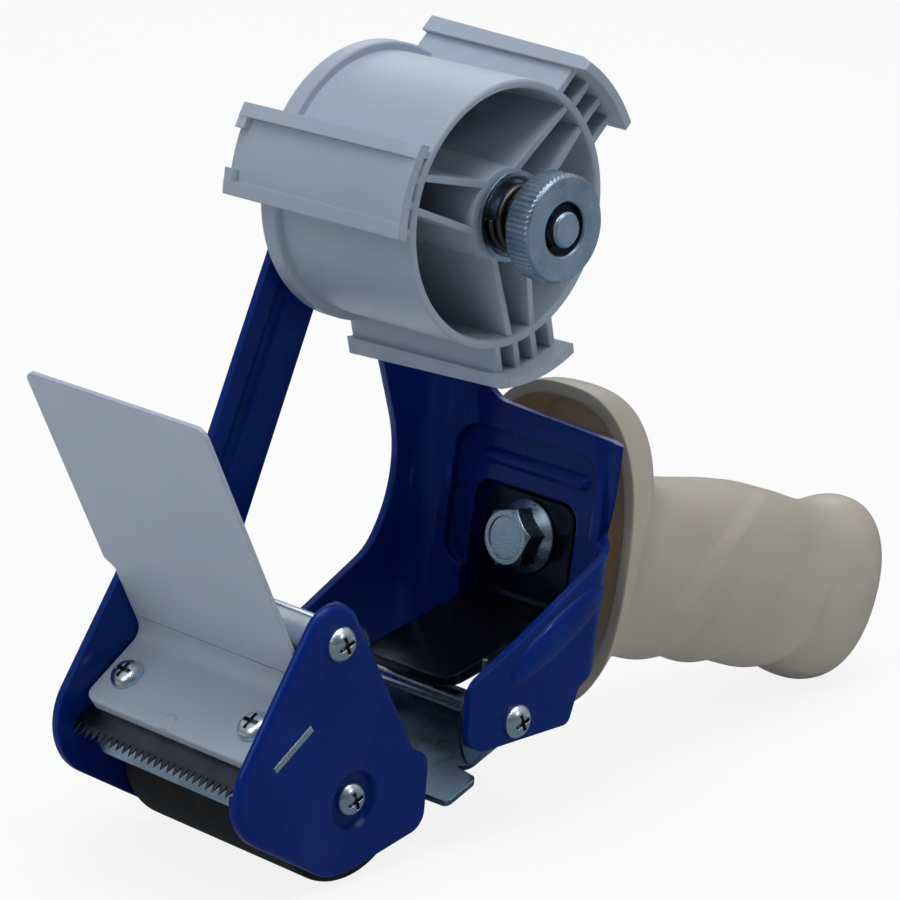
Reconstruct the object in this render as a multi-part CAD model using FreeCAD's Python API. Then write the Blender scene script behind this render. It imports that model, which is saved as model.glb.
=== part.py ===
import FreeCAD, Part
import math
import os
from FreeCAD import Vector

# Hand-held packing tape dispenser, in millimetres.
# +X points to the roller end, +Y to the side that the tape roll is loaded from, +Z up.
# It is drawn with the origin on the roller axis, in the middle of the tape's width.
# At the end it is tipped until the roller and the end of the handle stand on one floor,
# and moved so that the origin is the middle of the underside of its bounding box.

# tape reel
reel_x = -45.2
reel_z = 123.5
drum_radius = 30.0
drum_wall = 2.0
drum_near_y = 20.4
flange_radius = 32.0
flange_near_y = -20.3
flange_thickness = 4.7
hub_radius = 10.4
hub_foot_radius = 12.2
hub_near_y = 19.6
web_thickness = 1.6
first_fin_angle = 14.8
fin_near_y = 24.9
fin_far_y = -27.2
fin_half_width = 10.3
fin_pad_thickness = 2.2
fin_near_radius = 37.8
fin_far_radius = 39.3
fin_bead_width = 3.2
fin_bead_end = 3.1
fin_bead_far_height = 1.9
fin_bead_near_height = 1.0
fin_hook_width = 5.8
fin_hook_length = 2.6
fin_web_offsets = (-8.4, -2.8, 2.8, 8.4)
rib_root_offset = 5.4
rib_root_radius = 6.0
rib_tip_offset = 3.5
rib_near_y = 19.6

# reel axle, knob and brake
axle_radius = 4.0
axle_near_y = 38.2
running_fit = 0.06
knob_radius = 12.1
knob_thickness = 6.8
knob_near_y = 37.3
knob_recess_radius = 6.0
knob_recess_depth = 3.2
knob_knurls = 60
knurl_depth = 0.35
knob_chamfer = 0.7
clip_near_y = 35.8
clip_thickness = 0.9
clip_radius = 5.6
clip_groove_radius = 3.2
washer_radius = 10.2
washer_thickness = 1.2
washer_cup_depth = 2.2
spring_wire = 2.1
spring_radius = 7.0
spring_turns = 2.4
seat_thickness = 1.0
seat_radius = 9.6
friction_washer_radius = 13.0
axle_nut_height = 4.0
axle_washer_radius = 8.0
axle_washer_thickness = 1.4
axle_far_end = 1.2
hex_flats = 13.0

# frame
frame_width = 59.2
sheet = 2.0
far_bend_radius = 13.0
near_bend_radius = 5.0
wall_lean = 5.6
wall_x = -78.92
bolt_z = 39.7
arm_head_radius = 17.7
arm_bead_height = 1.1
arm_bead_width = 2.6
cheek_rim = 3.0
cheek_rim_round = 1.7
cheek_step = 1.1
cheek_step_width = 14.0
recess_half_width = 22.0
recess_low = -11.0
recess_high = 23.5
recess_depth = 1.6
recess_corner = 6.0
well_half_width = 16.5
well_high = 11.0
well_low = -26.0
well_depth = 6.15
well_corner = 5.0

# roller
roller_radius = 19.4
roller_width = 52.2
rubber_thickness = 4.0
core_wall = 2.0
bush_radius = 8.0
bush_length = 9.0
bush_recess = 1.6

# side screws
screw_head_radius = 3.9
screw_head_height = 2.2
screw_shank_radius = 1.9
screw_length = 8.0
screw_fit = 0.05
cross_width = 1.0
cross_length = 4.4
cross_depth = 1.2
dish_radius = 7.3
dish_depth = 2.7

# spacer, rear rod and retaining flap
spacer_x = 8.0
spacer_z = 37.6
spacer_radius = 4.2
rod_x = -48.8
rod_z = 8.7
rod_radius = 2.7
rod_fit = 0.08
plate_slope = 23.0
plate_x = -27.5
plate_z = -6.3
plate_sheet = 1.2
plate_front_x = -19.5
plate_back_x = -58.0
plate_half_width = 22.5
plate_tab_y = 29.9
plate_bend_radius = 3.4
near_ear_radius = 14.8
far_ear_radius = 8.0
coil_wire = 1.3
coil_radius = 3.9
coil_turns = 5
coil_near_y = 24.0
coil_leg_up = 14.5
coil_leg_down = 5.0
coil_turn = 6.0

# blade and guard
blade_slope = 36.5
blade_x = 19.9
blade_z = 16.2
carrier_sheet = 1.6
carrier_back = 9.0
carrier_front = 9.2
carrier_half_width = 24.0
carrier_lip = 9.5
carrier_tab_length = 12.6
slot_fit = 0.15
blade_sheet = 0.8
blade_reach = 17.3
tooth_count = 26
tooth_depth = 3.0
guard_foot_thickness = 3.0
guard_foot_reach = 9.6
guard_corner_reach = -10.7
guard_bend_radius = 4.0
guard_angle = 98.3
guard_sheet = 1.0
guard_length = 72.0
guard_wing = 2.6
guard_wing_start = 13.5
guard_hinge_reach = 5.0
guard_corner_radius = 2.5
guard_foot_corner = 3.0
guard_screw_y = 20.75
guard_screw_reach = 0.9
guard_screw_length = 7.2

# bracket, bolt and handle
bracket_sheet = 2.5
bracket_half_width = 14.0
bracket_high = 9.6
bracket_fold = -15.5
bracket_leg = 38.5
bracket_leg_slope = 13.5
bracket_corner = 5.0
bolt_flange_radius = 8.9
bolt_head_height = 7.8
bolt_flange_height = 1.8
bolt_length = 30.0
nut_height = 6.5
nut_depth = 3.0
nut_fit = 0.1
rim_set_back = 7.6
hood_wall = 3.0
hood_depth = 11.0
boss_radius = 12.0

gap = 0.3
side_clearance = 0.4
far_outer_y = -frame_width / 2
far_inner_y = far_outer_y + sheet
near_outer_y = frame_width / 2
near_inner_y = near_outer_y - sheet
blade_half_width = near_inner_y - side_clearance
guard_half_width = near_inner_y - side_clearance
plate_outer_y = near_inner_y - side_clearance
axis_y = Vector(0, 1, 0)
origin = Vector(0, 0, 0)
shapes = {}


def sideways(y):
    return lambda u, v: Vector(u, y, v)


def flat(z):
    return lambda u, v: Vector(u, v, z)


def crosswise(x):
    return lambda u, v: Vector(x, u, v)


def outline(corners, place):
    # face inside a closed outline; each corner is (u, v) or (u, v, turning radius)
    count = len(corners)
    starts = []
    middles = []
    ends = []
    for index in range(count):
        corner = corners[index]
        here = Vector(corner[0], corner[1], 0)
        radius = corner[2] if len(corner) > 2 else 0
        last = corners[index - 1]
        following = corners[(index + 1) % count]
        before = Vector(last[0], last[1], 0) - here
        after = Vector(following[0], following[1], 0) - here
        before.normalize()
        after.normalize()
        if radius == 0:
            starts.append(here)
            middles.append(None)
            ends.append(here)
            continue
        half = before.getAngle(after) / 2
        bisector = before + after
        bisector.normalize()
        starts.append(here + before * (radius / math.tan(half)))
        middles.append(here + bisector * (radius / math.sin(half) - radius))
        ends.append(here + after * (radius / math.tan(half)))
    edges = []
    for index in range(count):
        start = place(starts[index].x, starts[index].y)
        end = place(ends[index].x, ends[index].y)
        if middles[index] is not None:
            middle = place(middles[index].x, middles[index].y)
            edges.append(Part.Arc(start, middle, end).toShape())
        following = starts[(index + 1) % count]
        if (following - ends[index]).Length > 0.0001:
            edges.append(Part.makeLine(end, place(following.x, following.y)))
    return Part.Face(Part.Wire(edges))


def side_prism(corners, y0, y1):
    return outline(corners, sideways(y0)).extrude(Vector(0, y1 - y0, 0))


def plan_prism(corners, z0, z1):
    return outline(corners, flat(z0)).extrude(Vector(0, 0, z1 - z0))


def box(x0, x1, y0, y1, z0, z1):
    return Part.makeBox(x1 - x0, y1 - y0, z1 - z0, Vector(x0, y0, z0))


def rod(x, z, y0, y1, radius):
    return Part.makeCylinder(radius, y1 - y0, Vector(x, y0, z), axis_y)


def tube(x, z, y0, y1, outer, inner):
    return rod(x, z, y0, y1, outer).cut(rod(x, z, y0 - 1, y1 + 1, inner))


def turned(profile):
    # solid turned about the Y axis from (radius, y) points
    points = [Vector(radius, y, 0) for radius, y in profile]
    points.append(points[0])
    return Part.Face(Part.makePolygon(points)).revolve(origin, axis_y, 360)


def turned_outline(corners):
    return outline(corners, flat(0)).revolve(origin, axis_y, 360)


def moved(shape, x, y, z):
    copy = shape.copy()
    copy.translate(Vector(x, y, z))
    return copy


def spun(shape, degrees):
    copy = shape.copy()
    copy.rotate(origin, axis_y, degrees)
    return copy


def to_blade(shape):
    # from (reach, y, height) on the blade's bed to the frame of the dispenser
    return moved(spun(shape, blade_slope), blade_x, 0, blade_z)


def to_wall(shape):
    # from (distance in front of the wall's rear face, y, distance up the wall)
    return moved(spun(shape, -wall_lean), wall_x, 0, bolt_z)


def hexagon(flats, y0, y1):
    corner = flats / math.sqrt(3)
    points = []
    for index in range(6):
        angle = math.radians(60 * index)
        points.append((corner * math.cos(angle), corner * math.sin(angle)))
    return side_prism(points, y0, y1)


def pan_screw(length):
    # head above y = 0, shank below it, with a cross recess
    dome = Part.Arc(
        Vector(screw_head_radius, screw_head_height * 0.35, 0),
        Vector(screw_head_radius * 0.77, screw_head_height * 0.85, 0),
        Vector(0, screw_head_height, 0),
    ).toShape()
    corners = [
        (0, screw_head_height),
        (0, -length),
        (screw_shank_radius * 0.75, -length),
        (screw_shank_radius, 0.6 - length),
        (screw_shank_radius, 0),
        (screw_head_radius, 0),
        (screw_head_radius, screw_head_height * 0.35),
    ]
    edges = [dome]
    for index in range(len(corners) - 1):
        start = Vector(corners[index][0], corners[index][1], 0)
        end = Vector(corners[index + 1][0], corners[index + 1][1], 0)
        edges.append(Part.makeLine(start, end))
    body = Part.Face(Part.Wire(Part.__sortEdges__(edges))).revolve(origin, axis_y, 360)
    low = screw_head_height - cross_depth
    half = cross_length / 2
    side = cross_width / 2
    body = body.cut(box(-half, half, low, low + 3, -side, side))
    body = body.cut(box(-side, side, low, low + 3, -half, half))
    return body


def near_screw(x, z, y):
    return moved(spun(pan_screw(screw_length), 22), x, y, z)


def far_screw(x, z, y):
    screw = spun(pan_screw(screw_length), 22)
    screw.rotate(origin, Vector(0, 0, 1), 180)
    return moved(screw, x, y, z)


def rounded(shape, radius, chosen):
    edges = [edge for edge in shape.Edges if chosen(edge)]
    return shape.makeFillet(radius, edges)


# outlines shared by the pressings, as (x, z, corner radius)
cheek_corners = [
    (9.2, 54.4, 8.2),
    (40.4, 2.4, 13.5),
    (5.5, -17.7, 14.0),
    (-22.2, -10.8, 5.0),
    (-22.5, 6.0, 4.0),
    (-17.5, 8.0, 3.0),
]
window_corners = [
    (-37.6, 103.5, 5.0),
    (-49.2, 103.0, 5.0),
    (-66.8, 50.8, 34.0),
    (-56.5, 33.2, 14.0),
    (-34.0, 20.2, 10.0),
    (-6.0, 20.0, 8.0),
]
side_corners = [
    (-28.7, 129.9),
    (2.0, 50.1, 10.0),
    (14.8, 49.6, 6.0),
    (42.9, 3.6, 15.0),
    (5.5, -17.7, 14.0),
    (-16.0, -11.1, 6.0),
    (-34.0, 3.5, 8.0),
    (-66.5, 4.3, 2.5),
    (-69.2, 12.5, 3.0),
    (-74.0, 15.5),
    (-100.0, 15.5),
    (-100.0, 80.0),
    (-82.0, 80.0, 10.0),
    (-69.0, 92.0, 12.0),
    (-61.5, 130.4),
]
ear_corners = [
    (-33.3, 3.2, 6.0),
    (-33.5, 19.2, 6.0),
    (-48.5, 27.2, 30.0),
    (-79.5, 45.2, 4.0),
    (-79.0, 71.5),
    (-100.0, 71.5),
    (-100.0, 15.5),
    (-74.0, 15.5),
    (-69.2, 12.5, 3.0),
    (-66.5, 4.3, 2.5),
]
wall_corners = [
    (31.0, -28.5),
    (31.0, 67.8),
    (24.0, 68.2, 2.0),
    (-14.0, 70.1, 10.0),
    (-25.5, 89.5, 14.0),
    (-27.3, 150.0),
    (-40.0, 150.0),
    (-40.0, -28.5),
    (-16.6, -28.5),
    (-16.6, 15.5),
    (24.6, 15.5),
    (24.6, -28.5),
]

# main frame: one sheet bent into a channel, far side plate with a forked arm, wall, near ear
low_z = -30.0
high_z = 150.0
lean_run = math.tan(math.radians(wall_lean))
foot_x = wall_x + (bolt_z - low_z) * lean_run
rise = Vector(-(high_z - low_z) * lean_run, 0, high_z - low_z)
outer_plan = [
    (70.0, far_outer_y),
    (foot_x, far_outer_y, far_bend_radius),
    (foot_x, near_outer_y, near_bend_radius),
    (70.0, near_outer_y),
]
inner_plan = [
    (71.0, far_inner_y),
    (foot_x + sheet, far_inner_y, far_bend_radius - sheet),
    (foot_x + sheet, near_inner_y, near_bend_radius - sheet),
    (71.0, near_inner_y),
]
channel = outline(outer_plan, flat(low_z)).extrude(rise)
channel = channel.cut(outline(inner_plan, flat(low_z)).extrude(rise))
far_zone = side_prism(side_corners, -31.0, -16.6)
far_zone = far_zone.fuse(rod(reel_x, reel_z, -31.0, -16.6, arm_head_radius))
far_zone = far_zone.cut(side_prism(window_corners, -32.0, -15.0))
wall_zone = box(-110.0, -60.0, -16.6, 24.6, 0.0, 90.0)
ear_zone = side_prism(ear_corners, 24.6, 31.0)
wall_mask = outline(wall_corners, crosswise(-120.0)).extrude(Vector(200.0, 0, 0))
main_frame = channel.common(far_zone.fuse([wall_zone, ear_zone])).common(wall_mask)

# well and recess pressed rearward into the wall, and the bead above the bracket
recess_corners = [
    (-recess_half_width, recess_low, recess_corner),
    (recess_half_width, recess_low, recess_corner),
    (recess_half_width, recess_high, recess_corner),
    (-recess_half_width, recess_high, recess_corner),
]


def grown(corners, amount):
    # rectangle outline moved outward by an amount on every side
    grown_corners = []
    middle_u = sum(corner[0] for corner in corners) / len(corners)
    middle_v = sum(corner[1] for corner in corners) / len(corners)
    for u, v, radius in corners:
        side_u = math.copysign(amount, u - middle_u)
        side_v = math.copysign(amount, v - middle_v)
        grown_corners.append((u + side_u, v + side_v, radius + amount))
    return grown_corners


def wall_pocket(corners, back, front):
    return to_wall(outline(corners, crosswise(back)).extrude(Vector(front - back, 0, 0)))


well_corners = [
    (-well_half_width, well_low, well_corner),
    (well_half_width, well_low, well_corner),
    (well_half_width, well_high, well_corner),
    (-well_half_width, well_high, well_corner),
]
wall_trim = box(-110.0, 0.0, -30.0, 30.0, 15.5, 110.0)
recess_back = wall_pocket(grown(recess_corners, 1.4), -recess_depth, sheet / 2)
well_back = wall_pocket(grown(well_corners, 1.6), sheet - well_depth - sheet, sheet / 2)
recess_front = wall_pocket(recess_corners, sheet - recess_depth, sheet + 3)
well_front = wall_pocket(well_corners, sheet - well_depth, sheet + 3)
main_frame = main_frame.fuse(recess_back).fuse(well_back.common(wall_trim))
main_frame = main_frame.cut(recess_front).cut(well_front)
wall_bead = Part.makeCylinder(2.2, 30.0, Vector(0, -13.0, 0), axis_y)
wall_bead = wall_bead.fuse([Part.makeSphere(2.2, Vector(0, -13.0, 0)), Part.makeSphere(2.2, Vector(0, 17.0, 0))])
wall_bead.translate(Vector(sheet - recess_depth - 1.0, 0, 16.8))
main_frame = main_frame.fuse(to_wall(wall_bead))

# stiffening bead pressed along the arm toward the reel
bead_start = Vector(-27.5, far_inner_y, 108.0)
bead_end = Vector(1.0, far_inner_y, 34.0)


def bead_along(start, end, radius, sink):
    # half-sunk round bead between two points of a plate
    run = end - start
    body = Part.makeCylinder(radius, run.Length, start, run)
    body = body.fuse([Part.makeSphere(radius, start), Part.makeSphere(radius, end)])
    body.translate(Vector(0, sink, 0))
    return body


sink = arm_bead_width - arm_bead_height
arm_ridge = bead_along(bead_start, bead_end, arm_bead_width + 1.6, sink - sheet - 0.4)
arm_groove = bead_along(bead_start, bead_end, arm_bead_width, sink)
limit = box(-120.0, 60.0, -50.0, far_inner_y, -30.0, 150.0)
main_frame = main_frame.fuse(arm_ridge.common(limit)).cut(arm_groove)

# leaf-shaped bulge on the ear
leaf = Part.makeSphere(1.0)
leaf_scale = FreeCAD.Matrix()
leaf_scale.scale(17.0, 1.5, 4.4)
leaf = leaf.transformGeometry(leaf_scale)
leaf.rotate(origin, axis_y, 30.0)
leaf = moved(leaf, -61.0, near_outer_y, 27.0)
leaf = leaf.common(box(-75.0, -40.0, near_outer_y - 1.0, 40.0, 0.0, 60.0))
main_frame = main_frame.fuse(leaf)

# dishes round the roller screws, and the holes
dish_floor = near_outer_y - dish_depth


def dish_cone(floor, mouth, grow, side):
    # shallow cone from the mouth radius down to a floor radius, on one side plate
    cone = Part.makeCone(
        dish_radius - 1.4 + grow,
        dish_radius + 0.4 + grow,
        mouth - floor,
        Vector(0, floor, 0),
        axis_y,
    )
    if side < 0:
        cone.rotate(origin, Vector(0, 0, 1), 180)
    return cone


def dished(body, side):
    body = body.fuse(dish_cone(dish_floor - sheet, near_inner_y + 0.2, sheet * 0.8, side))
    return body.cut(dish_cone(dish_floor, near_outer_y + 0.2, 0, side))


main_frame = dished(main_frame, -1)
hole_radius = screw_shank_radius + screw_fit
slot_half = carrier_tab_length / 2 + slot_fit
slot_low = -carrier_sheet / 2 - slot_fit
slot_high = carrier_sheet / 2 + slot_fit
slot_cut = to_blade(box(-slot_half, slot_half, -40.0, 40.0, slot_low, slot_high))
screw_places = ((0.0, 0.0), (spacer_x, spacer_z), (rod_x, rod_z))
for x, z in screw_places:
    main_frame = main_frame.cut(rod(x, z, -40.0, 40.0, hole_radius))
main_frame = main_frame.cut(slot_cut)
main_frame = main_frame.cut(rod(reel_x, reel_z, -40.0, -20.0, axle_radius + screw_fit))
bolt_hole = Part.makeCylinder(axle_radius + screw_fit, 40.0, Vector(-20.0, 0, 0), Vector(1, 0, 0))
bolt_hole = to_wall(bolt_hole)
main_frame = main_frame.cut(bolt_hole)
shapes["main_frame"] = main_frame

# near cheek: plate with a turned-in rim, a lower rear part behind a slanting step
cheek = side_prism(cheek_corners, near_outer_y - cheek_rim, near_outer_y)
cheek = rounded(
    cheek,
    cheek_rim_round,
    lambda edge: all(abs(vertex.Y - near_outer_y) < 0.01 for vertex in edge.Vertexes),
)
step_top = Vector(0.9, 0, 43.0)
step_foot = Vector(17.0, 0, -7.6)
step_run = step_foot - step_top
step_run.normalize()
step_back = Vector(step_run.z, 0, -step_run.x)
step_length = 110.0


def step_cut(high, low):
    # prism along the step line whose section drops from high to low over the ramp
    start = step_top - step_run * 30.0
    ramp = start + step_back * cheek_step_width
    rear = start + step_back * 60.0
    points = [
        Vector(start.x, high, start.z),
        Vector(ramp.x, low, ramp.z),
        Vector(rear.x, low, rear.z),
        Vector(rear.x, high + 4, rear.z),
        Vector(start.x, high + 4, start.z),
        Vector(start.x, high, start.z),
    ]
    return Part.Face(Part.makePolygon(points)).extrude(step_run * step_length)


inner_face = outline(cheek_corners, sideways(near_outer_y - cheek_rim - 1)).makeOffset2D(-sheet)
pocket = inner_face.extrude(Vector(0, cheek_rim - sheet + 1, 0))
guard_relief = side_prism(
    [(8.0, 60.0), (8.0, 20.0), (16.0, 8.0), (45.0, 8.0), (45.0, 60.0)],
    near_outer_y - cheek_rim - 1,
    near_inner_y,
)
pocket = pocket.fuse(guard_relief).cut(step_cut(near_inner_y, near_inner_y - cheek_step))
cheek = cheek.cut(step_cut(near_outer_y, near_outer_y - cheek_step)).cut(pocket)
cheek = dished(cheek, 1)
for x, z in screw_places[:2]:
    cheek = cheek.cut(rod(x, z, 10.0, 40.0, hole_radius))
cheek = cheek.cut(slot_cut)
shapes["front_cheek"] = cheek

# spacer, roller axle and rear rod, each with a threaded bore in both ends
bore_depth = screw_length + 1.5


def bored_rod(x, z, half, radius):
    body = rod(x, z, -half, half, radius)
    body = body.cut(rod(x, z, half - bore_depth, half + 1, screw_shank_radius + screw_fit))
    return body.cut(rod(x, z, -half - 1, bore_depth - half, screw_shank_radius + screw_fit))


axle_half = dish_floor - sheet
shapes["front_spacer"] = bored_rod(spacer_x, spacer_z, near_inner_y, spacer_radius)
shapes["roller_axle"] = bored_rod(0.0, 0.0, axle_half, axle_radius)
shapes["rear_rod"] = bored_rod(rod_x, rod_z, near_inner_y, rod_radius)

screws = [
    near_screw(0.0, 0.0, dish_floor),
    near_screw(spacer_x, spacer_z, near_outer_y),
    near_screw(rod_x, rod_z, near_outer_y),
    far_screw(0.0, 0.0, -dish_floor),
    far_screw(spacer_x, spacer_z, far_outer_y),
    far_screw(rod_x, rod_z, far_outer_y),
]
shapes["side_screws"] = Part.makeCompound(screws)

# roller: rubber sleeve on a tube with a flanged bush in each end
half = roller_width / 2
core_outer = roller_radius - rubber_thickness
core_inner = core_outer - core_wall
shapes["roller_sleeve"] = turned_outline([
    (core_outer, -half),
    (roller_radius, -half, 1.2),
    (roller_radius, half, 1.2),
    (core_outer, half),
])
shapes["roller_core"] = turned_outline([
    (core_inner, 0.4 - half),
    (core_outer, 0.4 - half),
    (core_outer, half - 0.4),
    (core_inner, half - 0.4),
])
bush_outer_y = half - bush_recess
bush = turned_outline([
    (axle_radius + running_fit, bush_outer_y),
    (axle_radius + running_fit, bush_outer_y - bush_length),
    (bush_radius, bush_outer_y - bush_length),
    (bush_radius, bush_outer_y - bush_length + 3.0, 2.0),
    (core_inner, bush_outer_y - bush_length + 3.0),
    (core_inner, bush_outer_y - 2.5, 0.4),
    (bush_radius + 1.5, bush_outer_y - 2.5, 1.0),
    (bush_radius, bush_outer_y, 0.5),
])
bush_far = bush.copy()
bush_far.rotate(origin, Vector(0, 0, 1), 180)
shapes["roller_bushes"] = Part.makeCompound([bush, bush_far])

# blade carrier: strip on the blade's bed, a tab into the slot of each side, a lip in front
low = -carrier_sheet / 2
high = carrier_sheet / 2
carrier = box(-carrier_back, carrier_front, -carrier_half_width, carrier_half_width, low, high)
tab_half = carrier_tab_length / 2
carrier = carrier.fuse(box(-tab_half, tab_half, far_outer_y, near_outer_y, low, high))
lip = box(0.0, carrier_sheet, -carrier_half_width, carrier_half_width, -carrier_lip, -0.6)
lip.rotate(origin, axis_y, -blade_slope)
lip.translate(Vector(carrier_front - 1.0, 0, 0.3))
carrier = carrier.fuse(lip)
screw_bore = Part.makeCylinder(hole_radius, 30.0, Vector(guard_screw_reach, 0, -15.0))
bores = [moved(screw_bore, 0, guard_screw_y, 0), moved(screw_bore, 0, -guard_screw_y, 0)]
carrier = to_blade(carrier.cut(bores)).removeSplitter()
carrier = rounded(
    carrier,
    3.0,
    lambda edge: edge.Length < 2.5
    and edge.BoundBox.ZMax < 3.0
    and abs(edge.BoundBox.YMax - edge.BoundBox.YMin) < 0.01
    and abs(edge.BoundBox.ZMax - edge.BoundBox.ZMin) < 0.01,
)
shapes["blade_carrier"] = carrier

# cutting blade: strip with a row of pointed teeth along its front edge
teeth = [(-7.0, -blade_half_width), (-7.0, blade_half_width)]
pitch = 2 * blade_half_width / tooth_count
for index in range(tooth_count):
    y = blade_half_width - pitch * index
    teeth.append((blade_reach - tooth_depth, y))
    teeth.append((blade_reach, y - pitch / 2))
teeth.append((blade_reach - tooth_depth, -blade_half_width))
blade_top = carrier_sheet / 2 + blade_sheet
blade = plan_prism(teeth, carrier_sheet / 2, blade_top)
tip_bevel = Part.makeBox(6.0, 80.0, 4.0, Vector(0, -40.0, 0))
tip_bevel.rotate(origin, axis_y, 16.0)
tip_bevel.translate(Vector(blade_reach - tooth_depth, 0, blade_top))
shapes["cutting_blade"] = to_blade(blade.cut(bores).cut(tip_bevel))

# guard: screwed foot with a bend, and the flap that flexes from it
guard_turn = math.radians(guard_angle)
along = Vector(math.cos(guard_turn), math.sin(guard_turn), 0)
behind = Vector(-math.sin(guard_turn), math.cos(guard_turn), 0)
foot_top = blade_top + guard_foot_thickness
corner = Vector(guard_corner_reach, foot_top, 0)
stub = guard_hinge_reach - guard_sheet / 5
stub_front = corner + along * stub
stub_back = stub_front + behind * guard_sheet
back_low = corner + behind * guard_sheet - along * (foot_top - blade_top)
foot_profile = [
    (guard_foot_reach, blade_top),
    (guard_foot_reach, foot_top, 0.8),
    (corner.x, corner.y, guard_bend_radius * 0.9),
    (stub_front.x, stub_front.y),
    (stub_back.x, stub_back.y),
    (back_low.x, blade_top, 3.2),
]
foot = outline(foot_profile, sideways(-guard_half_width)).extrude(Vector(0, 2 * guard_half_width, 0))
foot_plan = [
    (guard_foot_reach, -guard_half_width, guard_foot_corner),
    (guard_foot_reach, guard_half_width, guard_foot_corner),
    (-30.0, guard_half_width),
    (-30.0, -guard_half_width),
]
foot = foot.common(plan_prism(foot_plan, -10.0, 30.0)).cut(bores)
hinge = corner + along * guard_hinge_reach + behind * (guard_sheet / 2)
foot = foot.cut(rod(hinge.x, hinge.y, -40.0, 40.0, guard_sheet / 2 + running_fit))
shapes["guard_foot"] = to_blade(foot)
flap_run = guard_length - guard_hinge_reach
flap_plan = [
    (0.0, -guard_half_width),
    (guard_wing_start, -guard_half_width, 1.0),
    (guard_wing_start + 2.0, -guard_half_width - guard_wing, 1.0),
    (flap_run, -guard_half_width - guard_wing, guard_corner_radius),
    (flap_run, guard_half_width, guard_corner_radius),
    (0.0, guard_half_width),
]
flap = plan_prism(flap_plan, -guard_sheet / 2, guard_sheet / 2)
flap = flap.fuse(rod(0.0, 0.0, -guard_half_width, guard_half_width, guard_sheet / 2))
flap = moved(spun(flap, -guard_angle), hinge.x, 0, hinge.y)
shapes["guard_flap"] = to_blade(flap)
guard_screw = pan_screw(guard_screw_length)
guard_screw.rotate(origin, Vector(1, 0, 0), 90)
guard_screw = moved(guard_screw, guard_screw_reach, 0, foot_top)
guard_screw_pair = [moved(guard_screw, 0, guard_screw_y, 0), moved(guard_screw, 0, -guard_screw_y, 0)]
shapes["guard_screws"] = to_blade(Part.makeCompound(guard_screw_pair))

# retaining flap: sloping plate with a thumb tab, its rear bent up into an ear at each side
rear_x = -37.9
front_plan = [
    (plate_front_x, -plate_half_width, 2.0),
    (plate_front_x, plate_half_width, 2.0),
    (-27.7, plate_half_width, 1.0),
    (-27.9, plate_tab_y, 1.5),
    (-36.9, plate_tab_y, 1.5),
    (rear_x, plate_half_width, 0.5),
    (plate_back_x, plate_half_width),
    (plate_back_x, -plate_half_width),
]
rear_plan = [
    (rear_x, -plate_half_width),
    (rear_x, plate_half_width),
    (-41.0, plate_outer_y),
    (plate_back_x, plate_outer_y, 2.0),
    (plate_back_x, -plate_outer_y, 2.0),
    (-41.0, -plate_outer_y),
]
ear_high = 40.0
plate_inner_y = plate_outer_y - plate_sheet
channel_outline = [
    (-plate_outer_y, ear_high),
    (-plate_outer_y, -plate_sheet, plate_bend_radius),
    (plate_outer_y, -plate_sheet, plate_bend_radius),
    (plate_outer_y, ear_high),
    (plate_inner_y, ear_high),
    (plate_inner_y, 0.0, plate_bend_radius - plate_sheet),
    (-plate_inner_y, 0.0, plate_bend_radius - plate_sheet),
    (-plate_inner_y, ear_high),
]


def to_plate(shape):
    # from (distance forward, y, height) on the plate to the frame of the dispenser
    return moved(spun(shape, plate_slope), plate_x, 0, plate_z)


slab = to_plate(box(-80.0, 80.0, -40.0, 40.0, -plate_sheet, 0.0))
plate_channel = to_plate(outline(channel_outline, crosswise(-60.0)).extrude(Vector(120.0, 0, 0)))
low_zone = to_plate(box(-80.0, 80.0, -40.0, 40.0, -plate_sheet - 1.0, plate_bend_radius))
high_zone = to_plate(box(-80.0, 80.0, -40.0, 40.0, plate_bend_radius - plate_sheet, ear_high))
plate = plan_prism(front_plan, -60.0, 60.0).common(slab)
plate = plate.fuse(plan_prism(rear_plan, -60.0, 60.0).common(plate_channel).common(low_zone))
ear_zone = rod(rod_x, rod_z, 0.0, 40.0, near_ear_radius)
ear_zone = ear_zone.fuse(rod(rod_x, rod_z, -40.0, 0.0, far_ear_radius))
plate = plate.fuse(ear_zone.common(plate_channel).common(high_zone))
plate = plate.cut(rod(rod_x, rod_z, -40.0, 40.0, rod_radius + rod_fit)).removeSplitter()
shapes["retaining_flap"] = plate


def coil(turns, pitch, radius, wire):
    # round wire wound about the Y axis, starting at y = 0 on +X
    helix = Part.makeHelix(pitch, pitch * turns, radius)
    section = Part.Wire(Part.makeCircle(wire / 2, Vector(radius, 0, 0), axis_y))
    body = Part.Wire(helix).makePipeShell([section], True, True)
    body.rotate(origin, Vector(1, 0, 0), -90)
    return body


# torsion spring on the rear rod, one leg up behind the near ear, one down to the plate
coil_pitch = coil_wire + 0.15
torsion = coil(coil_turns, coil_pitch, coil_radius, coil_wire)
coil_run = coil_pitch * coil_turns
wire_half = coil_wire / 2
leg_up = Part.makeCylinder(wire_half, coil_leg_up, Vector(coil_radius, 0, 0))
leg_down = Part.makeCylinder(wire_half, coil_leg_down, Vector(coil_radius, coil_run, -coil_leg_down))
bends = [
    Part.makeSphere(wire_half + 0.06, Vector(coil_radius, 0, 0)),
    Part.makeSphere(wire_half + 0.06, Vector(coil_radius, coil_run, 0)),
]
torsion = torsion.fuse(bends).fuse([leg_up, leg_down]).mirror(origin, axis_y)
shapes["torsion_spring"] = moved(spun(torsion, coil_turn), rod_x, coil_near_y, rod_z)

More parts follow.
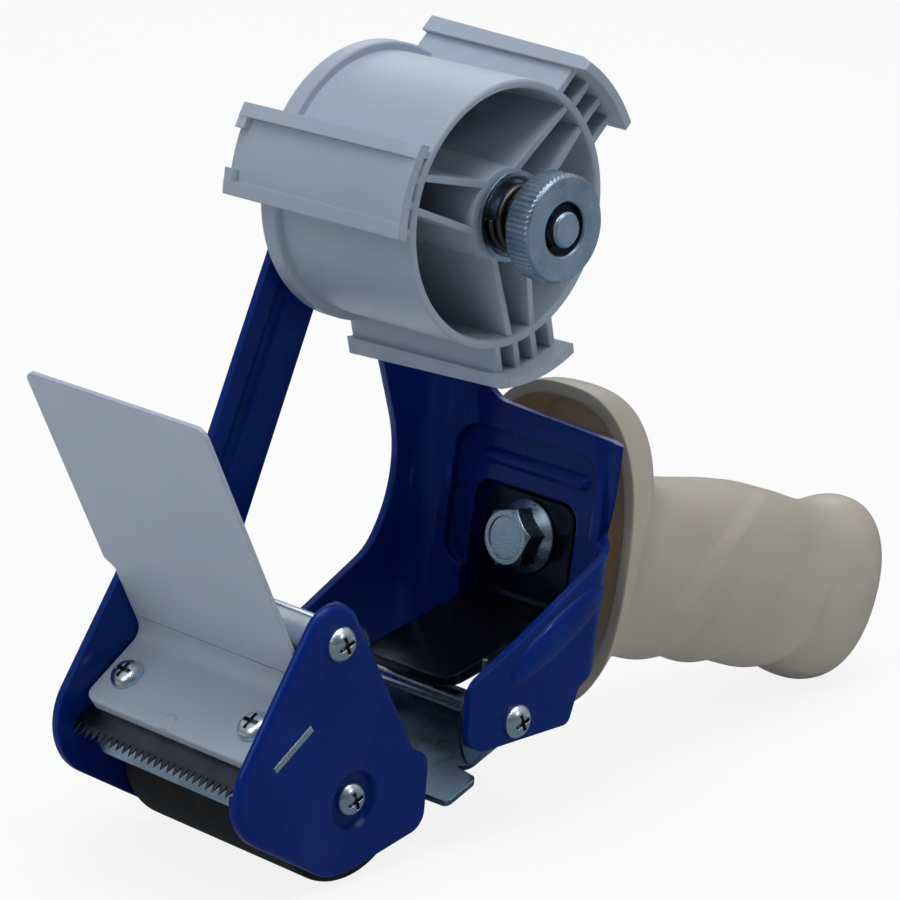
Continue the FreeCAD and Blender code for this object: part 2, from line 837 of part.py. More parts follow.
# bracket: black angle in the well of the wall, its lower leg reaching forward
bracket_back = sheet - well_depth
bracket_front = bracket_back + bracket_sheet
leg_turn = math.radians(bracket_leg_slope + wall_lean)
leg_far = Vector(math.cos(leg_turn), -math.sin(leg_turn), 0) * bracket_leg
leg_drop = Vector(math.sin(leg_turn), math.cos(leg_turn), 0) * bracket_sheet
bracket_profile = [
    (bracket_back, bracket_high),
    (bracket_back, bracket_fold - bracket_sheet, 4.5),
    (bracket_front + leg_far.x - leg_drop.x, bracket_fold + leg_far.y - leg_drop.y),
    (bracket_front + leg_far.x, bracket_fold + leg_far.y),
    (bracket_front, bracket_fold, 2.0),
    (bracket_front, bracket_high),
]
bracket = side_prism(bracket_profile, -bracket_half_width, bracket_half_width)
bracket = rounded(
    bracket,
    bracket_corner,
    lambda edge: abs(edge.BoundBox.YMax - edge.BoundBox.YMin) < 0.01
    and edge.Length < bracket_sheet + 0.05
    and (edge.BoundBox.XMin > 20.0 or edge.BoundBox.ZMin > bracket_high - 0.1),
)
shapes["handle_bracket"] = to_wall(bracket).cut(bolt_hole)

# bolt and its captive nut, drawn along +X from the bracket's face
bolt_axis = Vector(1, 0, 0)


def to_bolt(shape, distance):
    # from a shape drawn about +Y to the bolt's axis, +Y pointing forward
    copy = shape.copy()
    copy.rotate(origin, Vector(0, 0, 1), -90)
    copy.translate(Vector(distance, 0, 0))
    return to_wall(copy)


head = hexagon(hex_flats, 0.0, bolt_head_height)
head = head.common(turned([
    (0.0, 0.0),
    (hex_flats, 0.0),
    (hex_flats / 2 + 1.4, bolt_head_height - 1.1),
    (hex_flats / 2 - 0.2, bolt_head_height),
    (0.0, bolt_head_height),
]))
flange = turned_outline([
    (0.0, 0.0),
    (bolt_flange_radius, 0.0, 0.4),
    (bolt_flange_radius, 0.9, 0.4),
    (hex_flats / 2, bolt_flange_height + 0.9),
    (0.0, bolt_flange_height + 0.9),
])
shank = Part.makeCylinder(axle_radius - running_fit, bolt_length, Vector(0, -bolt_length, 0), axis_y)
head_mark = Part.makeCylinder(hex_flats / 2 - 1.4, 1.0, Vector(0, bolt_head_height - 0.35, 0), axis_y)
bolt = head.fuse([flange, shank]).cut(head_mark)
bolt = spun(bolt, 14.0)
shapes["handle_bolt"] = to_bolt(bolt, bracket_front)
boss_front = sheet - well_depth - sheet
nut_front = boss_front - nut_depth
nut = hexagon(hex_flats, -nut_height, 0.0).cut(rod(0.0, 0.0, -20.0, 20.0, axle_radius))
shapes["handle_nut"] = to_bolt(nut, nut_front)

# handle: hood with an arched top, a neck and a grip, lofted through rounded sections
# each section leans: x and z at its top, x and z at its bottom, half width, squareness
handle_sections = (
    (-68.0, 71.6, -62.0, -5.0, 26.6, 2.6),
    (-80.0, 73.4, -75.0, -2.4, 27.0, 2.6),
    (-91.5, 75.0, -79.5, -3.2, 27.0, 2.6),
    (-99.5, 73.6, -83.5, -0.8, 25.8, 2.6),
    (-104.3, 68.2, -87.0, 2.4, 22.9, 2.5),
    (-107.5, 60.5, -91.5, 5.0, 20.6, 2.4),
    (-112.0, 52.5, -97.5, 6.0, 19.2, 2.4),
    (-119.0, 48.2, -107.0, 5.7, 18.8, 2.3),
    (-130.0, 45.7, -116.0, 3.0, 18.2, 2.3),
    (-143.0, 43.6, -122.5, 2.6, 17.7, 2.3),
    (-149.0, 42.5, -125.3, 3.4, 17.2, 2.3),
    (-153.0, 41.6, -128.0, 1.8, 17.3, 2.3),
    (-159.0, 40.1, -136.0, -1.6, 17.6, 2.3),
    (-165.5, 37.9, -143.0, -1.8, 17.5, 2.3),
    (-168.0, 37.1, -145.1, -1.2, 17.2, 2.3),
    (-170.5, 36.3, -147.6, -3.4, 17.3, 2.3),
    (-177.0, 33.8, -157.5, -7.0, 17.5, 2.3),
    (-181.5, 32.3, -165.0, -7.6, 17.4, 2.3),
    (-183.5, 31.6, -167.3, -6.6, 17.1, 2.3),
    (-185.5, 31.1, -170.0, -9.4, 17.2, 2.3),
    (-190.0, 30.7, -178.0, -13.8, 17.2, 2.3),
    (-195.0, 31.0, -184.5, -15.3, 16.9, 2.3),
    (-199.6, 30.5, -189.8, -14.8, 15.8, 2.3),
    (-203.4, 28.2, -194.0, -12.4, 14.0, 2.2),
    (-206.2, 24.2, -198.0, -7.6, 11.2, 2.1),
    (-207.5, 19.6, -201.5, -1.6, 7.6, 2.0),
    (-207.8, 14.8, -205.2, 4.6, 3.2, 2.0),
)
section_points = 24


def handle_ring(top_x, top, bottom_x, bottom, half_width, squareness):
    # closed smooth curve whose corners are as square as asked
    middle = (top + bottom) / 2
    half_height = (top - bottom) / 2
    middle_x = (top_x + bottom_x) / 2
    half_lean = (top_x - bottom_x) / 2
    power = 2 / squareness
    points = []
    for index in range(section_points):
        angle = 2 * math.pi * index / section_points
        across = math.cos(angle)
        up = math.sin(angle)
        y = half_width * math.copysign(abs(across) ** power, across)
        level = math.copysign(abs(up) ** power, up)
        points.append(Vector(middle_x + half_lean * level, y, middle + half_height * level))
    curve = Part.BSplineCurve()
    curve.interpolate(Points=points, PeriodicFlag=True)
    return Part.Wire(curve.toShape())


def eased(sections):
    # the same sections with one more between each pair, on a smooth curve through all of them
    closer = []
    for index in range(len(sections) - 1):
        before = sections[max(index - 1, 0)]
        here = sections[index]
        following = sections[index + 1]
        after = sections[min(index + 2, len(sections) - 1)]
        closer.append(here)
        values = zip(before, here, following, after)
        closer.append([(9 * (near + far) - low - high) / 16 for low, near, far, high in values])
    closer.append(sections[-1])
    return closer


rings = [handle_ring(*section) for section in eased(handle_sections)]
handle = Part.makeLoft(rings, True, False)
hollow_rings = []
for top_x, top, bottom_x, bottom, half_width, squareness in eased(handle_sections[:6]):
    high = top - hood_wall
    low = bottom + hood_wall
    hollow_rings.append(handle_ring(top_x, high, bottom_x, low, half_width - hood_wall, squareness))
hollow = Part.makeLoft(hollow_rings, True, False)
floor_cut = to_wall(box(-rim_set_back - hood_depth, 80.0, -60.0, 60.0, -80.0, 80.0))
rim_cut = to_wall(box(-rim_set_back, 80.0, -60.0, 60.0, -80.0, 80.0))
handle = handle.cut(rim_cut).cut(hollow.common(floor_cut))
boss = Part.makeCylinder(boss_radius, 40.0, Vector(-40.0, 0, 0), bolt_axis)
boss.translate(Vector(boss_front, 0, 0))
boss_limit = box(-rim_set_back - hood_depth - 2.0, boss_front, -60.0, 60.0, -60.0, 60.0)
boss = to_wall(boss.common(boss_limit))
handle = handle.fuse(boss)
nut_pocket = hexagon(hex_flats + 2 * nut_fit, -nut_height - nut_fit, 20.0)
handle = handle.cut(to_bolt(nut_pocket, nut_front)).cut(
    to_wall(Part.makeCylinder(axle_radius + screw_fit, 60.0, Vector(-40.0, 0, 0), bolt_axis))
)
shapes["handle"] = handle

# tape reel, drawn about the Y axis with its first fin toward +X
back_y = flange_near_y - flange_thickness
reel = turned_outline([
    (drum_radius - drum_wall, flange_near_y),
    (drum_radius - drum_wall, drum_near_y, 0.6),
    (drum_radius, drum_near_y, 0.8),
    (drum_radius, flange_near_y),
])
reel = reel.fuse(turned_outline([
    (axle_radius + running_fit, back_y),
    (flange_radius, back_y, 0.6),
    (flange_radius, flange_near_y, 0.6),
    (axle_radius + running_fit, flange_near_y),
]))
hub_far_y = far_inner_y + 1.5
reel = reel.fuse(turned_outline([
    (axle_radius + running_fit, hub_far_y),
    (hub_foot_radius, hub_far_y),
    (hub_foot_radius, flange_near_y - 1.0),
    (hub_radius + 0.8, flange_near_y + 0.5),
    (hub_radius, hub_near_y),
    (axle_radius + running_fit, hub_near_y),
]))


def height_at(radius, offset):
    # distance out along the fin of a point on a circle, at a sideways offset
    return math.sqrt(radius * radius - offset * offset)


def pad_ring(y, radius):
    inner = radius - fin_pad_thickness
    w = fin_half_width
    outer_high = height_at(radius, w)
    inner_high = height_at(inner, w)
    edges = [
        Part.Arc(Vector(outer_high, y, -w), Vector(radius, y, 0), Vector(outer_high, y, w)).toShape(),
        Part.makeLine(Vector(outer_high, y, w), Vector(inner_high, y, w)),
        Part.Arc(Vector(inner_high, y, w), Vector(inner, y, 0), Vector(inner_high, y, -w)).toShape(),
        Part.makeLine(Vector(inner_high, y, -w), Vector(outer_high, y, -w)),
    ]
    return Part.Wire(edges)


def bead_ring(y, radius, raised, width, side):
    outer = fin_half_width * side
    inner = (fin_half_width - width) * side
    points = [
        Vector(height_at(radius - 1.0, outer), y, outer),
        Vector(height_at(radius + raised, outer), y, outer),
        Vector(height_at(radius + raised, inner), y, inner),
        Vector(height_at(radius - 1.0, inner), y, inner),
    ]
    points.append(points[0])
    return Part.makePolygon(points)


fin = Part.makeLoft([pad_ring(fin_far_y, fin_far_radius), pad_ring(fin_near_y, fin_near_radius)], True, True)
fin_slope = (fin_near_radius - fin_far_radius) / (fin_near_y - fin_far_y)
bead_stop = fin_near_y - fin_bead_end
bead_stop_radius = fin_far_radius + fin_slope * (bead_stop - fin_far_y)
hook_stop = fin_far_y + fin_hook_length
hook_stop_radius = fin_far_radius + fin_slope * fin_hook_length
for side in (-1, 1):
    fin = fin.fuse(Part.makeLoft([
        bead_ring(fin_far_y, fin_far_radius, fin_bead_far_height, fin_bead_width, side),
        bead_ring(bead_stop, bead_stop_radius, fin_bead_near_height, fin_bead_width, side),
        bead_ring(fin_near_y - 0.1, fin_near_radius, 0.05, fin_bead_width, side),
    ], True, True))
    fin = fin.fuse(Part.makeLoft([
        bead_ring(fin_far_y, fin_far_radius, fin_bead_far_height, fin_hook_width, side),
        bead_ring(hook_stop, hook_stop_radius, fin_bead_far_height, fin_hook_width, side),
    ], True, True))
for offset in fin_web_offsets:
    drum_high = height_at(drum_radius - 0.6, offset)
    pad_far = height_at(fin_far_radius - fin_pad_thickness, offset) + 0.5
    pad_near = height_at(fin_near_radius - fin_pad_thickness, offset) + 0.5
    points = [
        Vector(drum_high, flange_near_y - 1.0, offset),
        Vector(drum_high, drum_near_y - 0.2, offset),
        Vector(pad_near, drum_near_y - 0.2, offset),
        Vector(pad_far, fin_far_y + 0.8, offset),
        Vector(flange_radius - 0.6, fin_far_y + 0.8, offset),
    ]
    points.append(points[0])
    web = Part.Face(Part.makePolygon(points)).extrude(Vector(0, 0, web_thickness))
    web.translate(Vector(0, 0, -web_thickness / 2))
    fin = fin.fuse(web)
for side in (-1, 1):
    root = Vector(rib_root_radius, 0, rib_root_offset * side)
    tip = Vector(drum_radius - 1.0, 0, rib_tip_offset * side)
    run = tip - root
    across = Vector(-run.z, 0, run.x)
    across.normalize()
    half = across * (web_thickness / 2)
    points = [root + half, tip + half, tip - half, root - half, root + half]
    points = [Vector(point.x, flange_near_y - 1.0, point.z) for point in points]
    rib = Part.Face(Part.makePolygon(points)).extrude(Vector(0, rib_near_y - flange_near_y + 1.0, 0))
    fin = fin.fuse(rib.cut(rod(0.0, 0.0, -40.0, 40.0, hub_radius - 1.0)))
fins = [spun(fin, -first_fin_angle - 120.0 * index) for index in range(3)]
reel = reel.fuse(fins)
shapes["tape_reel"] = moved(reel, reel_x, 0, reel_z)

# reel axle with a clip groove, held to the frame by a thin nut on a washer
axle_far_y = far_outer_y - axle_washer_thickness - axle_nut_height - axle_far_end
clip_far_y = clip_near_y - clip_thickness
reel_axle = turned_outline([
    (0.0, axle_far_y),
    (axle_radius - 0.7, axle_far_y),
    (axle_radius, axle_far_y + 0.7),
    (axle_radius, clip_far_y - 0.05),
    (clip_groove_radius, clip_far_y - 0.05),
    (clip_groove_radius, clip_near_y + 0.05),
    (axle_radius, clip_near_y + 0.05),
    (axle_radius, axle_near_y - 0.5),
    (axle_radius - 0.5, axle_near_y),
    (0.0, axle_near_y),
])
shapes["reel_axle"] = moved(reel_axle, reel_x, 0, reel_z)
washer_y = far_outer_y - axle_washer_thickness
shapes["axle_washer"] = tube(
    reel_x, reel_z, washer_y, far_outer_y, axle_washer_radius, axle_radius + screw_fit
)
axle_nut = hexagon(hex_flats, washer_y - axle_nut_height, washer_y)
axle_nut = axle_nut.common(turned([
    (0.0, washer_y),
    (hex_flats * 0.6, washer_y),
    (hex_flats * 0.6, washer_y - axle_nut_height + 0.7),
    (hex_flats / 2 - 0.1, washer_y - axle_nut_height),
    (0.0, washer_y - axle_nut_height),
]))
axle_nut = axle_nut.cut(rod(0.0, 0.0, -60.0, 0.0, axle_radius + screw_fit))
shapes["axle_nut"] = moved(axle_nut, reel_x, 0, reel_z)
shapes["friction_washer"] = tube(
    reel_x, reel_z, far_inner_y, hub_far_y - gap / 3, friction_washer_radius, axle_radius + screw_fit
)

# pressure washer: cup on the near end of the hub, then the spring, its seat and the knob
cup_y = hub_near_y + gap / 3
cup = turned_outline([
    (axle_radius + screw_fit, cup_y),
    (washer_radius - 1.6, cup_y, 1.4),
    (washer_radius, cup_y + washer_cup_depth),
    (washer_radius - washer_thickness, cup_y + washer_cup_depth),
    (washer_radius - washer_thickness - 0.8, cup_y + washer_thickness, 0.4),
    (axle_radius + screw_fit, cup_y + washer_thickness),
])
shapes["pressure_washer"] = moved(cup, reel_x, 0, reel_z)
knob_far_y = knob_near_y - knob_thickness
spring_low = cup_y + washer_thickness
spring_high = knob_far_y - seat_thickness - gap / 3
spring_pitch = (spring_high - spring_low - spring_wire) / spring_turns
spring = coil(spring_turns, spring_pitch, spring_radius, spring_wire)
shapes["tension_spring"] = moved(spring, reel_x, spring_low + spring_wire / 2, reel_z)
shapes["spring_seat"] = tube(
    reel_x,
    reel_z,
    knob_far_y - seat_thickness - gap / 6,
    knob_far_y - gap / 6,
    seat_radius,
    axle_radius + running_fit,
)
knurl_points = []
for index in range(knob_knurls):
    angle = 2 * math.pi * index / knob_knurls
    next_angle = angle + math.pi / knob_knurls
    low_radius = knob_radius - knurl_depth
    knurl_points.append((knob_radius * math.cos(angle), knob_radius * math.sin(angle)))
    knurl_points.append((low_radius * math.cos(next_angle), low_radius * math.sin(next_angle)))
knurls = side_prism(knurl_points, knob_far_y, knob_near_y)
recess_y = knob_near_y - knob_recess_depth
knob_turned = turned_outline([
    (axle_radius + running_fit, knob_far_y),
    (knob_radius - knob_chamfer, knob_far_y),
    (knob_radius, knob_far_y + knob_chamfer),
    (knob_radius, knob_near_y - knob_chamfer),
    (knob_radius - knob_chamfer, knob_near_y),
    (knob_recess_radius + 0.3, knob_near_y),
    (knob_recess_radius, knob_near_y - 0.3),
    (knob_recess_radius, recess_y),
    (axle_radius + running_fit, recess_y),
])
shapes["tension_knob"] = moved(knob_turned.common(knurls), reel_x, 0, reel_z)

# open clip in the groove near the end of the axle
clip = tube(0.0, 0.0, clip_far_y, clip_near_y, clip_radius, clip_groove_radius + screw_fit)
clip_mouth = side_prism([(0.0, 0.0), (-5.0, 9.0), (5.0, 9.0)], clip_far_y - 1, clip_near_y + 1)
clip = spun(clip.cut(clip_mouth), 122.0)
shapes["axle_clip"] = moved(clip, reel_x, 0, reel_z)

# tip the drawing onto its floor and centre it
rest_turn = 0.0
for step in range(4):
    low_end = spun(handle, -rest_turn).optimalBoundingBox(False, False)
    height = low_end.ZMin + roller_radius
    rest_turn = rest_turn + math.degrees(height / -low_end.XMin)
bounds = FreeCAD.BoundBox()
for name in shapes:
    shapes[name] = spun(shapes[name], -rest_turn)
    bounds.add(shapes[name].optimalBoundingBox(False, False))
shift = Vector(-(bounds.XMin + bounds.XMax) / 2, -(bounds.YMin + bounds.YMax) / 2, -bounds.ZMin)

os.makedirs("parts", exist_ok=True)
for name in shapes:
    shape = shapes[name]
    shape.translate(shift)
    shape.exportStep("parts/" + name + ".step")
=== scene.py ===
import math
import bmesh
import bpy
import numpy as np
from mathutils import Matrix, Vector


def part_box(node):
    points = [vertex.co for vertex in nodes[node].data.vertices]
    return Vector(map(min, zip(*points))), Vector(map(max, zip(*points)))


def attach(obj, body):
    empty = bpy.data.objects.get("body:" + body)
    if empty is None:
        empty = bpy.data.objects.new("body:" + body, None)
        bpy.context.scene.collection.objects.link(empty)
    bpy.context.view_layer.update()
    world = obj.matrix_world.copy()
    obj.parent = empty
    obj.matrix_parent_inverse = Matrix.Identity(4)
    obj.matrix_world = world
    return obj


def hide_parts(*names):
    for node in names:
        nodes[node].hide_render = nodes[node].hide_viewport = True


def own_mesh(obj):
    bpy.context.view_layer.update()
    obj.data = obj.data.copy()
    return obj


# Hand-held packing tape dispenser. Metres, +X to the roller end, +Y to the loading side, +Z up.

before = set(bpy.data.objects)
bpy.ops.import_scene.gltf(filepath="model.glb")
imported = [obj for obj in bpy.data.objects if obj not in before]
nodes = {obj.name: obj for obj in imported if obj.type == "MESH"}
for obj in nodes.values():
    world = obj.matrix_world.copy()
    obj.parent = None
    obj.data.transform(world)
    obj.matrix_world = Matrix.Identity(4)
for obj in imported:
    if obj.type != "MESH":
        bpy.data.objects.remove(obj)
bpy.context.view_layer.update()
print("frame loaded:", len(nodes), "nodes")


# places read from the frame: the line from the roller axis to the reel axis gives the drawing's turn

def middleOf(node):
    low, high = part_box(node)
    return (low + high) / 2


mm = 0.001
rollerAxis = middleOf("roller_sleeve")
reelAxis = middleOf("reel_axle")
reelInDrawing = {"x": -45.2, "z": 123.5}  # from the roller axis, in the drawing's millimetres
drawnAngle = math.atan2(reelInDrawing["z"], reelInDrawing["x"])
placedAngle = math.atan2(reelAxis.z - rollerAxis.z, reelAxis.x - rollerAxis.x)
restTurn = placedAngle - drawnAngle
toFrame = Matrix.Translation(rollerAxis) @ Matrix.Rotation(-restTurn, 4, "Y") @ Matrix.Scale(mm, 4)


# shader maths: arithmetic on a wrapped socket adds Math nodes, and node() adds any other

class Flow:
    def __init__(self, tree, socket=None):
        self.tree = tree
        self.socket = socket

    def node(self, kind, settings, inputs, output=0):
        made = self.tree.nodes.new(kind)
        for name, value in settings.items():
            setattr(made, name, value)
        for key, value in inputs.items():
            if isinstance(value, Flow):
                self.tree.links.new(value.socket, made.inputs[key])
            else:
                made.inputs[key].default_value = value
        return Flow(self.tree, made.outputs[output])

    def math(self, operation, first, second=0.0):
        return self.node("ShaderNodeMath", {"operation": operation}, {0: first, 1: second})

    def __add__(self, other):
        return self.math("ADD", self, other)

    def __radd__(self, other):
        return self.math("ADD", other, self)

    def __sub__(self, other):
        return self.math("SUBTRACT", self, other)

    def __rsub__(self, other):
        return self.math("SUBTRACT", other, self)

    def __mul__(self, other):
        return self.math("MULTIPLY", self, other)

    def __rmul__(self, other):
        return self.math("MULTIPLY", other, self)


def rgba(red, green, blue):
    return (red, green, blue, 1.0)


def newMaterial(name, constants):
    # material with a Principled shader; the constants go straight onto its sockets
    material = bpy.data.materials.new(name)
    material.use_nodes = True
    tree = material.node_tree
    shader = tree.nodes["Principled BSDF"]
    for key, value in constants.items():
        shader.inputs[key].default_value = value
    return material, Flow(tree), shader


def objectPoint(flow, scale=(1.0, 1.0, 1.0), turn=(0.0, 0.0, 0.0)):
    place = flow.node("ShaderNodeTexCoord", {}, {}, "Object")
    return flow.node("ShaderNodeMapping", {}, {"Vector": place, "Scale": scale, "Rotation": turn})


def noise(flow, point, scale, detail=3.0, roughness=0.5):
    return flow.node(
        "ShaderNodeTexNoise",
        {},
        {"Vector": point, "Scale": scale, "Detail": detail, "Roughness": roughness},
    )


def between(flow, value, low, high, start=0.0, end=1.0):
    # maps a value from start..end to low..high and holds it there
    return flow.node(
        "ShaderNodeMapRange",
        {"clamp": True},
        {"Value": value, "From Min": start, "From Max": end, "To Min": low, "To Max": high},
    )


def blend(first, second, share):
    return first * share + second * (1 - share)


def mixColour(flow, factor, first, second):
    return flow.node(
        "ShaderNodeMix", {"data_type": "RGBA"}, {"Factor": factor, 6: first, 7: second}, 2
    )


def dot(flow, first, second):
    return flow.node("ShaderNodeVectorMath", {"operation": "DOT_PRODUCT"}, {0: first, 1: second}, "Value")


def roundedEdge(flow, radius):
    return flow.node("ShaderNodeBevel", {"samples": 4}, {"Radius": radius})


def softNormal(flow, radius, height, strength, distance):
    # rounded look along sharp edges, with a fine bump on top
    bump = {"Height": height, "Strength": strength, "Distance": distance, "Normal": roundedEdge(flow, radius)}
    return flow.node("ShaderNodeBump", {}, bump)


def edgeMask(flow, radius):
    # 1 along sharp edges and 0 on flat faces, from how far the rounded normal leans away
    face = flow.node("ShaderNodeNewGeometry", {}, {}, "Normal")
    return between(flow, dot(flow, roundedEdge(flow, radius), face), 1.0, 0.0, 0.8, 0.99)


def openness(flow, distance):
    # 1 in the open and towards 0 in a hollow of the piece itself
    return flow.node(
        "ShaderNodeAmbientOcclusion", {"samples": 6, "only_local": True}, {"Distance": distance}, "AO"
    )


def wire(flow, shader, sockets):
    for key, value in sockets.items():
        flow.tree.links.new(value.socket, shader.inputs[key])


cloudRange = (0.35, 0.65)  # what the clouds of every finish take from their noise

# in the dictionaries below, a noise is its scale, detail and roughness, and a range is start and end

enamel = {
    "sheen": rgba(0.18, 0.42, 1.0),
    "specular": 0.3,
    "coatWeight": (0.1, 0.17),
    "coatRoughness": 0.05,
    "coatIor": 1.5,
    "cloud": (35.0, 3.0),
    "peel": (420.0, 2.0),  # orange peel
    "pull": (55.0, 2.0),  # soft waves left by the press
    "peelShare": 0.06,
    "glossRange": (0.3, 0.7),
    "bumpStrength": 0.35,
    "bumpDepth": 0.0012,
    "edgeRadius": 0.0011,
    # a painted highlight: sharp edges take a paler colour
    "edgeHighlightRadius": 0.0006,
    "edgeHighlightShare": 0.5,
    # hollows of the piece itself take a painted shade
    "hollowReach": 0.05,
    "hollowShare": 0.85,
    "hollowRange": (0.45, 0.92),
}
black = rgba(0.002, 0.002, 0.003)
# this paler black is the body colour of blackSteel and the painted highlight along the edges of both black
# finishes
paleBlack = rgba(0.008, 0.008, 0.010)
enamelLooks = {
    "blueEnamel": {
        "deep": rgba(0.0010, 0.015, 0.14),
        "body": rgba(0.0014, 0.019, 0.178),
        # the colour of the painted shade in hollows
        "paintedHollowShade": rgba(0.0003, 0.0055, 0.085),
        # the colour of the painted highlight along sharp edges
        "edge": rgba(0.007, 0.04, 0.28),
        "rough": (0.22, 0.34),
    },
    "blackEnamel": {"deep": black, "body": black, "paintedHollowShade": black, "edge": paleBlack, "rough": (0.2, 0.32)},
    "blackSteel": {
        "deep": black, "body": paleBlack, "paintedHollowShade": black, "edge": paleBlack, "rough": (0.3, 0.45)
    },
}


def enamelMaterial(name, look):
    # enamel: faint clouds, a painted shade in hollows and a painted highlight along sharp edges, under a thin
    # clear coat
    material, flow, shader = newMaterial(name, {
        "Coat Roughness": enamel["coatRoughness"],
        "Coat IOR": enamel["coatIor"],
        "Specular IOR Level": enamel["specular"],
        "Specular Tint": enamel["sheen"],
    })
    point = objectPoint(flow)
    cloud = noise(flow, point, *enamel["cloud"])
    peel = noise(flow, point, *enamel["peel"])
    pull = noise(flow, point, *enamel["pull"])
    # painted shade, darker where the piece closes round the surface
    hollow = openness(flow, enamel["hollowReach"])
    hollow = between(flow, hollow, enamel["hollowShare"], 0.0, *enamel["hollowRange"])
    # painted highlight: paler colour along sharp edges
    edgeHighlight = edgeMask(flow, enamel["edgeHighlightRadius"]) * enamel["edgeHighlightShare"]
    colour = mixColour(flow, between(flow, cloud, 0.0, 1.0, *cloudRange), look["deep"], look["body"])
    colour = mixColour(flow, hollow, colour, look["paintedHollowShade"])
    colour = mixColour(flow, edgeHighlight, colour, look["edge"])
    height = peel * enamel["peelShare"] + pull
    wire(flow, shader, {
        "Base Color": colour,
        "Roughness": between(flow, cloud, *look["rough"], *enamel["glossRange"]),
        "Coat Weight": between(flow, cloud, *enamel["coatWeight"], *enamel["glossRange"]),
        "Normal": softNormal(
            flow, enamel["edgeRadius"], height, enamel["bumpStrength"], enamel["bumpDepth"]
        ),
    })
    return material


zinc = {
    "cloud": (90.0, 4.0, 0.6),
    "stain": (260.0, 5.0, 0.7),
    "lines": (300.0, 3.0, 0.6),
    "stainShare": 0.35,
    "stainRange": (0.56, 0.7),
    # recesses of the piece take a painted shade of this colour
    "recess": rgba(0.05, 0.062, 0.074),
    "recessReach": 0.0016,
    "recessShare": 0.85,
    "recessRange": (0.35, 0.85),
    "cloudInGloss": 0.5,
    "linesInBump": 0.6,
    "bumpDepth": 0.0002,
    "edgeRadius": 0.0003,
}
stained = rgba(0.52, 0.52, 0.46)
plainZinc = rgba(0.35, 0.45, 0.54)
brightZinc = rgba(0.49, 0.62, 0.74)
# painted shade: a steel darkened to stand for the dark surroundings that the blade mirrors
shadedBladeSteel = rgba(0.075, 0.082, 0.096)
oiled = rgba(0.13, 0.115, 0.105)
alongAxis = (14.0, 1.0, 14.0)  # drawn lines run where the grain is 1
alongWire = (6.0, 6.0, 1.0)
zincLooks = {
    "zincSheet": {
        "bright": rgba(0.22, 0.315, 0.425),
        "dull": rgba(0.135, 0.2, 0.275),
        "warm": rgba(0.30, 0.32, 0.31),
        "grain": (1.0, 18.0, 1.0),
        "rough": (0.22, 0.42),
        "relief": 0.07,
    },
    "zincFresh": {
        "bright": rgba(0.76, 0.87, 0.95),
        "dull": rgba(0.58, 0.69, 0.78),
        "warm": stained,
        "grain": alongAxis,
        "rough": (0.24, 0.33),
        "relief": 0.03,
    },
    "zincTurned": {
        "bright": brightZinc,
        "dull": plainZinc,
        "warm": stained,
        "grain": alongAxis,
        "rough": (0.2, 0.38),
        "relief": 0.07,
    },
    # the blade's colours are painted shade, far darker than its steel, standing for the dark reflections on
    # it
    "bladeSteel": {
        "bright": shadedBladeSteel,
        "dull": rgba(0.05, 0.056, 0.066),
        "warm": shadedBladeSteel,
        "grain": (1.0, 26.0, 1.0),
        "rough": (0.22, 0.36),
        "relief": 0.07,
    },
    "oiledSteel": {
        "bright": oiled,
        "dull": rgba(0.07, 0.062, 0.058),
        "warm": oiled,
        "grain": alongWire,
        "rough": (0.22, 0.36),
        "relief": 0.07,
    },
    "springSteel": {
        "bright": plainZinc,
        "dull": plainZinc,
        "warm": brightZinc,
        "grain": alongWire,
        "rough": (0.25, 0.4),
        "relief": 0.07,
    },
}


def zincMaterial(name, look):
    # plated steel: cloudy passivation, fine drawn lines along the grain, small stains, and a painted shade in
    # recesses
    material, flow, shader = newMaterial(name, {"Metallic": 1.0})
    point = objectPoint(flow)
    cloud = noise(flow, point, *zinc["cloud"])
    stain = noise(flow, point, *zinc["stain"])
    lines = noise(flow, objectPoint(flow, look["grain"]), *zinc["lines"])
    stains = between(flow, stain, 0.0, zinc["stainShare"], *zinc["stainRange"])
    # painted shade: darker in the piece's own recesses
    recess = openness(flow, zinc["recessReach"])
    recess = between(flow, recess, zinc["recessShare"], 0.0, *zinc["recessRange"])
    colour = mixColour(flow, between(flow, cloud, 0.0, 1.0, *cloudRange), look["dull"], look["bright"])
    colour = mixColour(flow, stains, colour, look["warm"])
    colour = mixColour(flow, recess, colour, zinc["recess"])
    gloss = blend(cloud, lines, zinc["cloudInGloss"])
    height = blend(lines, stain, zinc["linesInBump"])
    wire(flow, shader, {
        "Base Color": colour,
        "Roughness": between(flow, gloss, *look["rough"], *cloudRange),
        "Normal": softNormal(flow, zinc["edgeRadius"], height, look["relief"], zinc["bumpDepth"]),
    })
    return material


